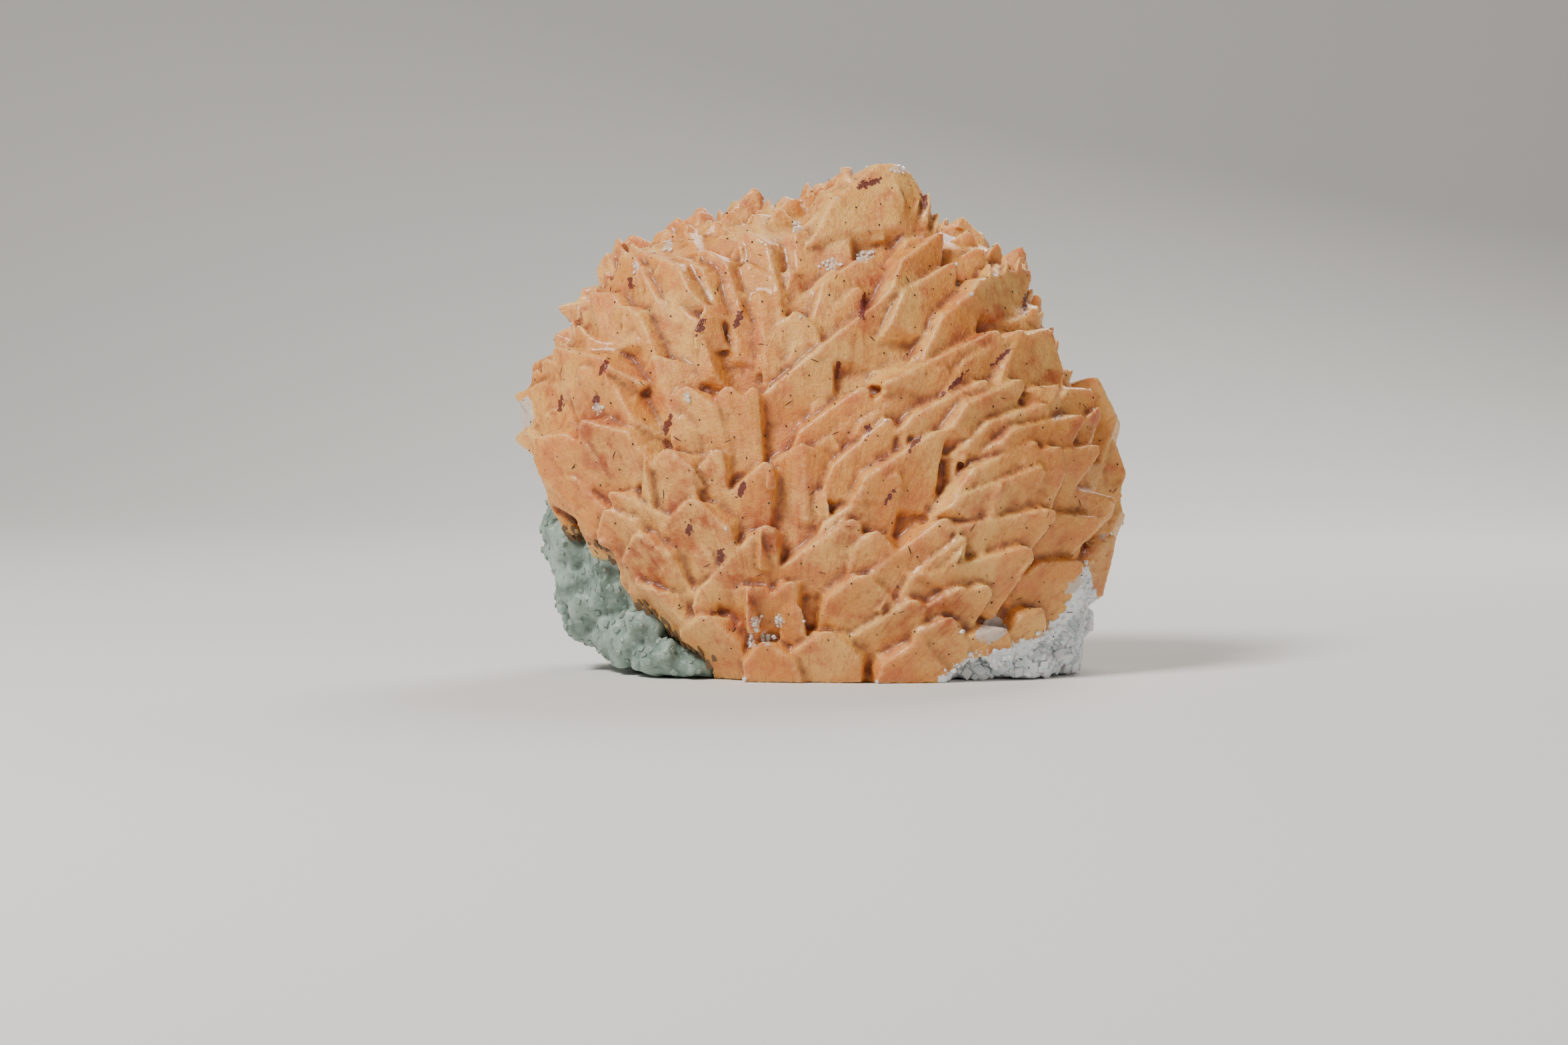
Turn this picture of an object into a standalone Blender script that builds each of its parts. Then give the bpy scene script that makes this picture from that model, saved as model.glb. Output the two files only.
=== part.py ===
"""Pink calcite: a dome of shingled dogtooth crystals that grew together on pale host rock.

X runs to the right across the show face, Y runs to the back and Z runs up from the flat underside.
Every length below is in millimetres, and the meshes are made in metres.
"""

import math
import random

import bmesh
import bpy
import numpy as np
from mathutils import Matrix, Vector

# Driving dimensions
MM = 0.001
GAP = 0.3
DOME_MIDDLE = 1.0
DOME_ROUNDNESS = 2.4
GOLDEN_ANGLE = math.pi * (3 - math.sqrt(5))
SEED = 7

# The dome's heart, how far below the dome its surface lies, and how much of the back reach it fills
CORE_INSET = 4.0
CORE_BACK_SHARE = 0.7
CORE_RING = 24

# A crystal of the show face grows from a root this far below the dome's surface, and this far from its tip
ROOT_DEPTH = 5.8
ROOT_REACH = 15.0
ROOT_END = 3.0
WIDTH_SCALE = 1.35
LEAN_SCALE = 0.78

# Gaps wider than this between the crystals that can be told apart are filled with others
INFILL_GAP = 8.6
INFILL_STEP = (3.5, 3.0)
INFILL_LOWEST = 6.0
INFILL_HIGHEST = 80.0
INFILL_WIDTHS = (3.2, 4.4)
FAN_CENTRE = (-4.0, -18.0)

# The specimen's box by height: height, left edge, right edge, reach to the front, reach to the back
DOME = np.array(
    (
        (0, -24, 42, 26, 22),
        (10, -34, 45, 30, 26),
        (20, -42, 49, 31, 28),
        (30, -46, 51, 30, 29),
        (40, -50, 50, 28, 28),
        (50, -47, 46, 25, 26),
        (60, -42, 41, 21, 22),
        (70, -34, 34, 15, 17),
        (78, -17, 22, 9, 12),
        (85, 3, 17, 4, 8),
    ),
    dtype=float,
)

# Each form's faces, as (azimuth, rise, a point that the face passes through, in half widths).
# The tip is at the origin and the viewer at azimuth -90. The fin r runs wide to the left, under its
# neighbour, and ends at its right, l is its mirror, f is a flat tooth, s a ridged one, b a plain one
# and d the blunt dome of the largest crystal.
TIP = (0.0, 0.0, 0.0)
LOWER_BACK = (90, 6, (0, 1.1, -1.2))
FORMS = {
    "r": (
        (-92, 6, TIP), (90, 42, TIP), (186, 41, TIP), (-12, 50, TIP),
        (-16, 5, (0.25, 0, -0.3)), (180, 10, (-1.75, 0, -1.6)), LOWER_BACK,
    ),
    "l": (
        (-88, 6, TIP), (90, 42, TIP), (-6, 41, TIP), (192, 50, TIP),
        (196, 5, (-0.25, 0, -0.3)), (0, 10, (1.75, 0, -1.6)), LOWER_BACK,
    ),
    "f": (
        (-92, 7, TIP), (-90, 66, TIP), (90, 44, TIP), (-12, 46, (0.3, 0, -0.25)), (192, 46, (-0.3, 0, -0.25)),
        (-14, 7, (0.95, 0, -1.0)), (194, 7, (-0.95, 0, -1.0)), LOWER_BACK,
    ),
    "s": (
        (-66, 10, TIP), (-116, 10, TIP), (90, 44, TIP), (-4, 50, TIP), (184, 50, TIP),
        (-6, 8, (0.9, 0, -0.9)), (186, 8, (-0.9, 0, -0.9)), LOWER_BACK,
    ),
    "b": (
        (-90, 8, TIP), (90, 44, TIP), (-8, 50, TIP), (188, 50, TIP),
        (-10, 8, (0.9, 0, -0.8)), (190, 8, (-0.9, 0, -0.8)), LOWER_BACK,
    ),
    "d": (
        (-80, 5, (0, -0.2, 0)), (-106, 5, (0, -0.2, 0)), (-90, 42, (0, -0.1, 0)), (90, 40, TIP),
        (-20, 36, (0.3, 0, -0.05)), (204, 34, (-0.3, 0, -0.05)), (-60, 66, TIP), (220, 66, TIP),
        (-10, 10, (0.9, 0, -0.7)), (190, 12, (-0.9, 0, -0.7)), LOWER_BACK,
    ),
}

# The slanted face that ends a crystal at its root: rise, depth and distance from the root's end
ROOT_CHAMFER = (-35, 1.8, 4.5)

# Crystals that can be told apart, each as
# (x of the tip, height of the tip, half width, lean to the right in degrees, form)
# The forms are r, a tip at the right of a long slope, l, its mirror, f, a flat front, and s, a ridge
TOP_CRYSTALS = (
    (13, 84, 7.6, 3, "d"), (21, 73, 2.7, 6, "r"), (23, 68, 3.3, 6, "r"), (27, 63, 2.4, 6, "r"),
    (36, 67, 4.0, 12, "r"), (2, 77, 3.3, 0, "f"), (-3, 74, 3.1, -2, "s"), (-11, 73, 2.9, -5, "f"),
    (-11, 68, 4.2, -3, "f"), (-14, 64, 2.7, -3, "s"), (-18, 70, 3.3, -6, "f"), (-4, 67, 3.8, 0, "r"),
    (-9, 63, 3.3, -2, "s"), (9, 69, 5.6, 8, "f"), (3, 67, 4.0, 2, "r"), (7, 64, 3.8, 4, "r"),
    (14, 64, 4.9, 8, "r"), (-3, 60, 2.9, 0, "f"),
)
LEFT_CRYSTALS = (
    (-23, 69, 4.2, -8, "f"), (-29, 70, 3.1, -14, "l"), (-32, 69, 2.7, -16, "f"), (-37, 63, 3.3, -20, "s"),
    (-32, 61, 3.1, -14, "f"), (-23, 61, 3.6, -6, "f"), (-37, 56, 3.1, -10, "s"), (-38, 51, 4.4, -22, "f"),
    (-43, 54, 3.6, -30, "l"), (-47, 51, 4.2, -40, "f"), (-50, 46, 2.0, -60, "l"), (-49, 45, 3.1, -50, "f"),
    (-50, 39, 2.7, -75, "l"), (-46, 39, 3.8, -55, "f"), (-44, 33, 3.8, -45, "f"), (-38, 42, 5.6, -35, "f"),
    (-33, 31, 3.3, -25, "l"), (-26, 53, 4.0, -8, "s"), (-21, 48, 3.8, -4, "f"), (-16, 38, 3.8, 0, "r"),
    (-24, 38, 3.1, -5, "f"), (-20, 30, 4.9, -4, "f"), (-34, 28, 3.6, -30, "f"), (-29, 24, 4.0, -22, "f"),
    (-29, 16, 2.7, -15, "s"), (-26, 15, 4.7, -15, "f"), (-18, 11, 4.4, -5, "f"), (-35, 23, 3.0, -32, "s"),
)
MIDDLE_CRYSTALS = (
    (2, 55, 3.8, 8, "r"), (-14, 48, 2.7, 0, "f"), (-10, 48, 2.9, 3, "r"), (8, 48, 3.6, 10, "r"),
    (13, 48, 4.2, 14, "r"), (-2, 39, 4.0, 3, "s"), (-8, 36, 4.0, 6, "r"), (12, 43, 3.1, 10, "r"),
    (20, 41, 4.2, 14, "r"), (28, 49, 3.6, 22, "r"), (30, 57, 5.6, 20, "r"), (34, 49, 3.3, 24, "r"),
    (38, 45, 3.3, 28, "r"), (44, 43, 4.0, 36, "r"), (40, 48, 3.3, 20, "s"), (46, 47, 3.8, 26, "f"),
    (39, 57, 4.9, 12, "f"), (34, 57, 3.3, 14, "r"), (47, 38, 4.2, 40, "r"), (36, 39, 3.3, 28, "r"),
    (40, 38, 2.9, 30, "f"), (37, 35, 4.2, 32, "r"), (30, 32, 3.3, 20, "s"), (21, 27, 4.0, 14, "r"),
    (13, 34, 4.0, 10, "r"), (21, 51, 4.4, 14, "r"),
)
LOW_CRYSTALS = (
    (-8, 26, 4.9, 2, "r"), (-4, 17, 3.3, 6, "r"), (-10, 16, 6.4, -2, "s"), (6, 27, 4.9, 12, "r"),
    (10, 25, 2.9, 8, "f"), (8, 18, 4.7, 8, "f"), (16, 14, 7.3, 18, "r"), (17, 7, 4.4, 12, "f"),
    (22, 11, 3.8, 20, "f"), (28, 16, 5.3, 34, "r"), (24, 16, 3.3, 22, "r"), (24, 24, 2.7, 16, "r"),
    (35, 22, 6.2, 44, "r"), (39, 28, 4.7, 46, "r"), (50, 29, 4.9, 56, "r"), (47, 26, 4.4, 54, "r"),
    (51, 22, 4.4, 62, "l"), (44, 19, 4.7, 48, "f"), (37, 12, 2.4, 30, "f"), (31, 9, 4.4, 34, "f"),
    (2, 9, 4.6, 4, "f"),
)
SHOW_CRYSTALS = TOP_CRYSTALS + LEFT_CRYSTALS + MIDDLE_CRYSTALS + LOW_CRYSTALS

# The same, for crystals that show only as a skyline behind the others
SKYLINE_DEPTH = 9.0
SKYLINE_LENGTH = 20.0
SKYLINE_CRYSTALS = (
    (-19, 77, 2.4, 4, "s"), (-23, 76, 2.2, -8, "s"), (-25, 74, 2.2, -12, "l"), (-31, 73, 2.9, -18, "f"),
    (-35, 70, 2.4, -22, "s"), (-39, 64, 2.7, -35, "f"), (-43, 61, 2.4, -55, "l"), (-44, 56, 2.0, -60, "s"),
    (-10, 81, 4.0, 4, "r"), (-6, 78, 2.2, 4, "s"), (-3, 78, 2.2, 6, "f"), (6, 84, 3.8, 14, "r"),
    (16, 83, 2.6, 6, "s"), (21, 75, 2.6, 6, "f"), (25, 76, 3.3, 3, "f"), (31, 70, 2.7, 8, "s"),
    (35, 71, 3.8, 14, "r"), (38, 63, 2.9, 18, "r"), (48, 49, 5.1, 24, "f"), (51, 38, 3.8, 30, "s"),
    (51, 32, 3.8, 35, "f"),
)

# The outline that the crystals wrap around at the sides, the top and the back
RIM = (
    (-43, 30), (-50, 39), (-48, 50), (-42, 60), (-35, 69), (-20, 76), (-10, 80), (5, 83), (17, 82),
    (21, 76), (35, 70), (41, 60), (46, 50), (50, 38), (50, 28), (49, 20), (44, 12),
)
RIM_SPACING = 12.0
RIM_WINDOW = 6.0
RIM_LENGTH = 22.0
RIM_WIDTHS = (4.5, 6.2)
# Each row of crystals around the rim: (y, inset from the outline, tilt to the back, first height)
RIM_ROWS = ((-4.0, 2.5, -4.0, 26.0), (4.0, 1.5, 8.0, 0.0), (12.0, 4.0, 26.0, 18.0), (19.0, 9.0, 42.0, 50.0))

# The crust's broken edges, seen from the front as (x, height): below them the host rock shows
LEFT_BREAK = (
    (-60, 30), (-43, 28), (-39, 26), (-37, 23), (-33, 21), (-31, 16), (-28, 12), (-28, 9), (-24, 8),
    (-21, 6), (-18, 4), (-16, -5), (-60, -5),
)
RIGHT_BREAK = (
    (60, 13), (45, 12), (42, 9), (40, 6), (36, 6), (34, 3), (32, 4), (29, 2), (27, 4), (23, 3),
    (20, -5), (60, -5),
)
CUTTER_REACH = 60.0
FLOOR_CUTTER = (200.0, 200.0, 60.0)

# Host rock: its body, its foot and the knobs of its open side, as (centre x, y, z), (half sizes)
ROCK_BODY = ((-1.0, 11.0, 25.0), (42.0, 18.0, 33.0))
ROCK_FOOT = ((4.0, 5.0, 0.0), (40.0, 22.0, 7.0))
ROCK_KNOBS = (
    ((-38, -1, 21), (8, 9, 8)), ((-36, 0, 11), (7, 9, 8)), ((-28, -7, 6), (8, 9, 7)),
    ((-39, 4, 27), (6, 9, 6)), ((-24, -12, 3), (7, 8, 4)), ((-31, -5, 15), (8, 9, 8)),
    ((-33, -9, 20), (5, 5, 5)), ((-40, -4, 15), (3, 4, 4)), ((-33, -5, 5), (4, 5, 4)),
    ((-27, -13, 9), (4, 4, 4)), ((-43, -2, 24), (3, 4, 4)), ((-20, -15, 2), (5, 5, 3)),
    ((25, -14, 1), (7, 7, 3)), ((33, -12, 2), (7, 8, 5)), ((39, -6, 5), (6, 8, 7)),
    ((42, 0, 9), (4, 7, 5)), ((38, 4, 48), (6, 7, 8)), ((37, 6, 56), (5, 6, 6)),
)
ROCK_POINTS = {"body": 22, "foot": 30, "knob": 16, "block": 12}

# Blocks of rock that roughen the back, their sizes, and how far they spread and stand out
BACK_BLOCKS = 8
BACK_BLOCK_SIZES = (7.0, 12.0)
BACK_BLOCK_THICKNESS = 7.0
BACK_SPREAD = 0.85
BACK_SINK = 5.0


def dome_at(height, column):
    """Reads one column of the dome table at a height."""
    return float(np.interp(height, DOME[:, 0], DOME[:, column]))


def across_at(x, height):
    """Gives how far x is from the dome's middle at a height, from -1 at the left to 1 at the right."""
    left = dome_at(height, 1)
    right = dome_at(height, 2)
    return (x - (left + right) / 2) / ((right - left) / 2)


def front_at(x, height):
    """Gives the y of the dome's front over a point of its outline."""
    across = min(abs(across_at(x, height)), 1.0)
    fullness = (1 - across**DOME_ROUNDNESS) ** (1 / DOME_ROUNDNESS)
    return DOME_MIDDLE - dome_at(height, 3) * fullness


def axis_from(lean, tilt):
    """Gives a crystal's growth direction from its lean to the right and its tilt to the front."""
    lean = math.radians(lean)
    tilt = math.radians(tilt)
    return Vector((math.sin(lean) * math.cos(tilt), -math.sin(tilt), math.cos(lean) * math.cos(tilt)))


def plane_from(azimuth, rise, point):
    """Gives a plane's normal, which faces an azimuth and rises above the horizon, and its distance."""
    azimuth = math.radians(azimuth)
    rise = math.radians(rise)
    level = math.cos(rise)
    normal = np.array((math.cos(azimuth) * level, math.sin(azimuth) * level, math.sin(rise)))
    return normal, float(normal @ np.array(point))


def crystal_planes(width, length, form, rng):
    """Lists the faces of a crystal whose tip is at the origin and whose axis is +Z."""
    turn = rng.uniform(-4, 4)
    planes = []
    for azimuth, rise, point in FORMS[form]:
        spot = [width * share for share in point]
        planes.append(plane_from(azimuth + turn + rng.uniform(-3, 3), rise + rng.uniform(-2, 3), spot))
    rise, depth, distance = ROOT_CHAMFER
    planes.append(plane_from(-90, rise, (0, -depth, distance - length)))
    planes.append(plane_from(0, -90, (0, 0, -length)))
    return planes


def corners_of(planes):
    """Finds the corners of the convex solid that lies behind every plane."""
    corners = []
    count = len(planes)
    for first in range(count):
        for second in range(first + 1, count):
            for third in range(second + 1, count):
                normals = np.array((planes[first][0], planes[second][0], planes[third][0]))
                if abs(np.linalg.det(normals)) < 1e-6:
                    continue
                distances = np.array((planes[first][1], planes[second][1], planes[third][1]))
                corner = np.linalg.solve(normals, distances)
                if all(normal @ corner <= distance + 1e-6 for normal, distance in planes):
                    corners.append(corner)
    return corners


def mesh_object(name, mesh, collection):
    """Adds an object that shows a mesh."""
    item = bpy.data.objects.new(name, mesh)
    collection.objects.link(item)
    return item


def hull_object(name, points, collection):
    """Makes the convex solid around some points, given in millimetres."""
    shell = bmesh.new()
    for point in points:
        shell.verts.new(Vector(point) * MM)
    bmesh.ops.remove_doubles(shell, verts=shell.verts, dist=0.05 * MM)
    hull = bmesh.ops.convex_hull(shell, input=shell.verts)
    inner = set(hull["geom_unused"]) | set(hull["geom_interior"])
    inner_verts = [part for part in inner if isinstance(part, bmesh.types.BMVert)]
    bmesh.ops.delete(shell, geom=inner_verts, context="VERTS")
    bmesh.ops.recalc_face_normals(shell, faces=shell.faces)
    mesh = bpy.data.meshes.new(name)
    shell.to_mesh(mesh)
    shell.free()
    return mesh_object(name, mesh, collection)


def add_crystal(tip, axis, outward, width, length, form, rng, collection):
    """Grows one crystal back from its tip, with its broad front turned outward."""
    back = -(outward - outward.dot(axis) * axis).normalized()
    side = back.cross(axis)
    turn = Matrix((side, back, axis)).transposed()
    corners = corners_of(crystal_planes(width, length, form, rng))
    return hull_object("crystal", [turn @ Vector(corner) + tip for corner in corners], collection)


def add_show_crystal(x, height, width, lean, form, rng, collection):
    """Adds a crystal of the show face, which grows from a root below the dome's surface."""
    across = across_at(x, height)
    outward = Vector((0.8 * across, -1.2 + 0.5 * abs(across), 0.0)).normalized()
    tip = Vector((x, front_at(x, height), height))
    lean = math.radians(lean * LEAN_SCALE + rng.uniform(-2, 2))
    root_x = x - ROOT_REACH * math.sin(lean)
    root_height = height - ROOT_REACH * math.cos(lean)
    surface = Vector((root_x, front_at(root_x, root_height), root_height))
    root = surface - outward * (ROOT_DEPTH + rng.uniform(-0.8, 0.8))
    axis = (tip - root).normalized()
    length = ROOT_REACH + ROOT_END
    add_crystal(tip, axis, outward, width * WIDTH_SCALE, length, form, rng, collection)


def infill_spots(rng):
    """Steps over the show face and gives each spot that lies far from every tip before it."""
    taken = [(x, height) for x, height, *_ in SHOW_CRYSTALS]
    step_x, step_height = INFILL_STEP
    for row, height in enumerate(np.arange(INFILL_LOWEST, INFILL_HIGHEST, step_height)):
        first = dome_at(height, 1) + step_x * (1 + 0.5 * (row % 2))
        for x in np.arange(first, dome_at(height, 2) - step_x, step_x):
            spot = (float(x) + rng.uniform(-1.2, 1.2), float(height) + rng.uniform(-1.2, 1.2))
            if min(math.dist(spot, other) for other in taken) > INFILL_GAP:
                taken.append(spot)
                yield spot


def add_show_crystals(rng, collection):
    """Adds the crystals of the show face, those between them, and the skyline behind."""
    for x, height, width, lean, form in SHOW_CRYSTALS:
        add_show_crystal(x, height, width, lean, form, rng, collection)
    for x, height in infill_spots(rng):
        lean = math.degrees(math.atan2(x - FAN_CENTRE[0], height - FAN_CENTRE[1]))
        form = "r" if x > -FAN_CENTRE[0] else rng.choice("fs")
        add_show_crystal(x, height, rng.uniform(*INFILL_WIDTHS), lean, form, rng, collection)
    for x, height, width, lean, form in SKYLINE_CRYSTALS:
        axis = axis_from(lean, rng.uniform(-10, -3))
        tip = Vector((x, SKYLINE_DEPTH + rng.uniform(-1.5, 2.5), height))
        outward = Vector((0, -1, 0))
        add_crystal(tip, axis, outward, width * WIDTH_SCALE, SKYLINE_LENGTH, form, rng, collection)


def rim_points(spacing, start):
    """Steps along the outline and gives each point with its outward angle from straight up."""
    points = np.array(RIM, dtype=float)
    lengths = np.concatenate(((0.0,), np.cumsum(np.hypot(*np.diff(points, axis=0).T))))
    for distance in np.arange(start, lengths[-1], spacing):
        x = np.interp(distance, lengths, points[:, 0])
        height = np.interp(distance, lengths, points[:, 1])
        ahead = min(distance + RIM_WINDOW, lengths[-1])
        behind = max(distance - RIM_WINDOW, 0)
        run = np.interp(ahead, lengths, points[:, 0]) - np.interp(behind, lengths, points[:, 0])
        rise = np.interp(ahead, lengths, points[:, 1]) - np.interp(behind, lengths, points[:, 1])
        yield float(x), float(height), math.degrees(math.atan2(-rise, run))


def add_rim_crystals(rng, collection):
    """Adds the rows of crystals that turn from the outline to the back."""
    for row, (y, inset, tilt, lowest) in enumerate(RIM_ROWS):
        for x, height, angle in rim_points(RIM_SPACING, RIM_SPACING / 2 * (row % 2)):
            if height < lowest:
                continue
            normal = Vector((math.sin(math.radians(angle)), 0, math.cos(math.radians(angle))))
            depth = y + rng.uniform(-1.5, 1.5)
            tip = Vector((x, depth, height)) - normal * (inset + rng.uniform(-0.5, 1.5))
            axis = axis_from(angle * 0.75 + rng.uniform(-8, 8), -tilt + rng.uniform(-5, 5))
            outward = Vector((normal.x, 0.2 + 0.2 * row, 0))
            add_crystal(tip, axis, outward, rng.uniform(*RIM_WIDTHS), RIM_LENGTH, "b", rng, collection)


def add_core(collection):
    """Makes the grown-together heart of the dome, which carries every crystal."""
    points = []
    bend = 2 / DOME_ROUNDNESS
    highest = DOME[-2, 0] - CORE_INSET
    for height, left, right, front, back in DOME[:-1]:
        middle = (left + right) / 2
        half = (right - left) / 2 - CORE_INSET
        for step in range(CORE_RING):
            angle = math.tau * step / CORE_RING
            across = math.copysign(abs(math.cos(angle)) ** bend, math.cos(angle))
            along = math.copysign(abs(math.sin(angle)) ** bend, math.sin(angle))
            reach = (back * CORE_BACK_SHARE if along > 0 else front) - CORE_INSET
            points.append((middle + half * across, DOME_MIDDLE + reach * along, min(height, highest)))
    return hull_object("core", points, collection)


def rock_lump(kind, centre, sizes, rng, collection, grow):
    """Makes one rough lump of host rock, with its surface moved outward by grow."""
    spots = []
    count = ROCK_POINTS[kind]
    for step in range(count):
        lift = 1 - 2 * (step + 0.5) / count
        ring = math.sqrt(1 - lift * lift)
        angle = step * GOLDEN_ANGLE
        away = (ring * math.cos(angle), ring * math.sin(angle), lift)
        rough = rng.uniform(0.86, 1.06)
        spots.append([c + a * (s * rough + grow) for c, a, s in zip(centre, away, sizes)])
    return hull_object("rock", spots, collection)


def rock_lumps(collection, grow=0.0):
    """Makes the host rock's body and foot, the knobs of its open side and the blocks of its back."""
    rng = random.Random(SEED + 1)
    rock_lump("body", *ROCK_BODY, rng, collection, grow)
    rock_lump("foot", *ROCK_FOOT, rng, collection, grow)
    for centre, sizes in ROCK_KNOBS:
        rock_lump("knob", centre, sizes, rng, collection, grow)
    (middle_x, middle_y, middle_z), (half_x, half_y, half_z) = ROCK_BODY
    for step in range(BACK_BLOCKS):
        angle = step * GOLDEN_ANGLE
        out = math.sqrt((step + 0.5) / BACK_BLOCKS) * BACK_SPREAD
        x = middle_x + half_x * out * math.cos(angle)
        y = middle_y + half_y * math.sqrt(1 - out * out) - BACK_SINK
        z = middle_z + half_z * out * math.sin(angle)
        size = rng.uniform(*BACK_BLOCK_SIZES)
        sizes = (size * rng.uniform(1, 1.4), BACK_BLOCK_THICKNESS, size)
        rock_lump("block", (x, y, z), sizes, rng, collection, grow)


def add_floor_cutter(collection):
    """Makes the block that leaves a flat underside."""
    shell = bmesh.new()
    bmesh.ops.create_cube(shell, size=1.0)
    bmesh.ops.scale(shell, vec=Vector(FLOOR_CUTTER) * MM, verts=shell.verts)
    bmesh.ops.translate(shell, vec=Vector((0, 0, -FLOOR_CUTTER[2] / 2)) * MM, verts=shell.verts)
    mesh = bpy.data.meshes.new("floor_cutter")
    shell.to_mesh(mesh)
    shell.free()
    return mesh_object("floor_cutter", mesh, collection)


def add_break_cutter(name, outline, collection):
    """Makes the block that breaks the crust off below an outline seen from the front."""
    shell = bmesh.new()
    corners = [shell.verts.new(Vector((x, -CUTTER_REACH, height)) * MM) for x, height in outline]
    face = shell.faces.new(corners)
    grown = bmesh.ops.extrude_face_region(shell, geom=[face])
    moved = [item for item in grown["geom"] if isinstance(item, bmesh.types.BMVert)]
    bmesh.ops.translate(shell, vec=Vector((0, 2 * CUTTER_REACH, 0)) * MM, verts=moved)
    bmesh.ops.recalc_face_normals(shell, faces=shell.faces)
    mesh = bpy.data.meshes.new(name)
    shell.to_mesh(mesh)
    shell.free()
    return mesh_object(name, mesh, collection)


def add_boolean(item, operation, cutter=None, collection=None):
    """Adds a Boolean that joins or cuts an object, or every object of a collection."""
    modifier = item.modifiers.new(operation.lower(), "BOOLEAN")
    modifier.operation = operation
    modifier.solver = "MANIFOLD"
    modifier.use_self = False
    if collection is not None:
        modifier.operand_type = "COLLECTION"
        modifier.collection = collection
    else:
        modifier.object = cutter


def keep_main_body(mesh):
    """Deletes crumbs that a cut has left loose, and keeps the largest body."""
    shell = bmesh.new()
    shell.from_mesh(mesh)
    bmesh.ops.remove_doubles(shell, verts=shell.verts, dist=0.002 * MM)
    left = set(shell.verts)
    bodies = []
    while left:
        found = {left.pop()}
        edge_of_search = set(found)
        while edge_of_search:
            near = {edge.other_vert(vert) for vert in edge_of_search for edge in vert.link_edges}
            edge_of_search = near - found
            found |= near
        left -= found
        bodies.append(found)
    bodies.sort(key=len)
    crumbs = [vert for body in bodies[:-1] for vert in body]
    bmesh.ops.delete(shell, geom=crumbs, context="VERTS")
    shell.to_mesh(mesh)
    shell.free()


def settle(item, name, material, collection):
    """Turns an object with its Booleans into a plain named object of one body."""
    graph = bpy.context.evaluated_depsgraph_get()
    mesh = bpy.data.meshes.new_from_object(item.evaluated_get(graph))
    mesh.name = name
    keep_main_body(mesh)
    mesh.materials.clear()
    mesh.materials.append(material)
    for face in mesh.polygons:
        face.use_smooth = False
    bpy.data.objects.remove(item)
    return mesh_object(name, mesh, collection)


def make_material(name, color, roughness):
    """Makes a stone finish."""
    material = bpy.data.materials.new(name)
    material.use_nodes = True
    shader = material.node_tree.nodes["Principled BSDF"]
    shader.inputs["Base Color"].default_value = (*color, 1.0)
    shader.inputs["Roughness"].default_value = roughness
    shader.inputs["Metallic"].default_value = 0.0
    return material


def new_collection(name, hidden=False):
    """Adds a collection to the scene."""
    collection = bpy.data.collections.new(name)
    bpy.context.scene.collection.children.link(collection)
    collection.hide_render = hidden
    return collection


def mark_as_guides(collection):
    """Shows guides as wires and keeps them out of renders."""
    for item in collection.objects:
        item.hide_render = True
        item.display_type = "WIRE"


def main():
    for item in list(bpy.data.objects):
        bpy.data.objects.remove(item)
    parts = new_collection("pink_calcite")
    crystals = new_collection("crystal_guides", hidden=True)
    rocks = new_collection("rock_guides", hidden=True)
    grown_rocks = new_collection("grown_rock_guides", hidden=True)
    cutters = new_collection("cutters", hidden=True)

    rng = random.Random(SEED)
    add_show_crystals(rng, crystals)
    add_rim_crystals(rng, crystals)
    rock_lumps(rocks)
    rock_lumps(grown_rocks, GAP)
    floor = add_floor_cutter(cutters)
    left_break = add_break_cutter("left_break", LEFT_BREAK, cutters)
    right_break = add_break_cutter("right_break", RIGHT_BREAK, cutters)
    for guides in (crystals, rocks, grown_rocks, cutters):
        mark_as_guides(guides)

    calcite = add_core(parts)
    add_boolean(calcite, "UNION", collection=crystals)
    add_boolean(calcite, "DIFFERENCE", collection=grown_rocks)
    for cutter in (left_break, right_break, floor):
        add_boolean(calcite, "DIFFERENCE", cutter=cutter)
    pink = make_material("calcite", (0.49, 0.24, 0.12), 0.35)
    settle(calcite, "calcite_crystals", pink, parts)

    rock = rocks.objects[0]
    rocks.objects.unlink(rock)
    parts.objects.link(rock)
    add_boolean(rock, "UNION", collection=rocks)
    add_boolean(rock, "DIFFERENCE", cutter=floor)
    pale = make_material("host_rock", (0.42, 0.45, 0.40), 0.8)
    settle(rock, "matrix_rock", pale, parts)


main()
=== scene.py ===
import math

import bmesh
import bpy
import numpy as np
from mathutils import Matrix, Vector
from mathutils.bvhtree import BVHTree


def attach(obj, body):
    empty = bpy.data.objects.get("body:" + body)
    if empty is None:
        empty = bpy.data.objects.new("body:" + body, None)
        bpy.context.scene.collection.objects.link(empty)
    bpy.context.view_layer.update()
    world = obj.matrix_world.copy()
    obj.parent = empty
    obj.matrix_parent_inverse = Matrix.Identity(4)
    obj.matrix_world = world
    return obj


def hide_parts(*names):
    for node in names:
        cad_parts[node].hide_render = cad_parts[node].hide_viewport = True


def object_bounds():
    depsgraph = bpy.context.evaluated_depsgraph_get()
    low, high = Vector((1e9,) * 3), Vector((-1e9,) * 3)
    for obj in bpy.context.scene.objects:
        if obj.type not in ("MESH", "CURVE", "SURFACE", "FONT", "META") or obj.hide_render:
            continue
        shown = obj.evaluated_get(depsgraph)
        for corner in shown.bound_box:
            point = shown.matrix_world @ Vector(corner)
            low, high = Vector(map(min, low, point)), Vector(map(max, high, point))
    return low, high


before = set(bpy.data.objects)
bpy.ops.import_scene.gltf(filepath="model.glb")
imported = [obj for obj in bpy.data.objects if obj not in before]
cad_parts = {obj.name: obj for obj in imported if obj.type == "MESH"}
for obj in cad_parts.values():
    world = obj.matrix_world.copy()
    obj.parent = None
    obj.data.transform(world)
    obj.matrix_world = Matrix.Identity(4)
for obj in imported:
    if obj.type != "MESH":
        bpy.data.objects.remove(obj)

MM = 0.001
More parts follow.
